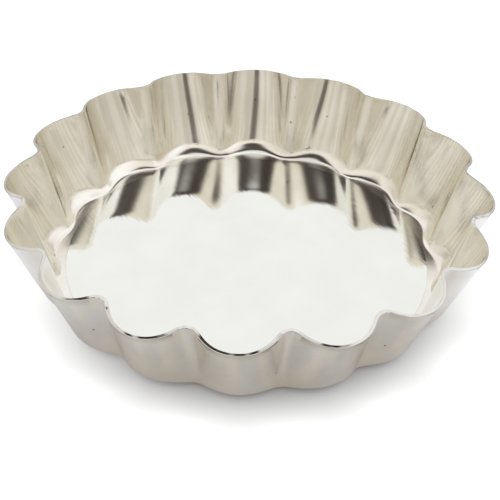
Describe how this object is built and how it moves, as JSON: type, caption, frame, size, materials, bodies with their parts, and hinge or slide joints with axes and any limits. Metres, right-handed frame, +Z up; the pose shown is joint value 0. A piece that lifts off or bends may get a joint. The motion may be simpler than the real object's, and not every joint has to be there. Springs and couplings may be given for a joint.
{
  "type": "fluted tartlet mould",
  "caption": "Shallow round tartlet mould in bright tinplate: a flaring fluted ring with an in-turned ledge, and a round loose base that lifts out through the rim.",
  "frame": {"origin": "middle of the ring, on the surface that the mould stands on", "axes": "+Z up through the open rim, +X through the middle of one lobe of the flutes"},
  "size_m": [0.1, 0.1, 0.0195],
  "materials": {
    "ring_tinplate": "bright drawn tinplate with faint draw lines up the flutes and a raw cut rim",
    "base_tinplate": "bright rolled tinplate, nearly a mirror, with fine rolling lines"
  },
  "bodies": {
    "ring": {"fluted_ring": "ring_tinplate"},
    "base": {"loose_base": "base_tinplate"}
  },
  "joints": [
    {"name": "base_lift", "type": "slide", "parent": "ring", "child": "base", "axis": [0, 0, 1], "range_m": [0, 0.025]}
  ]
}
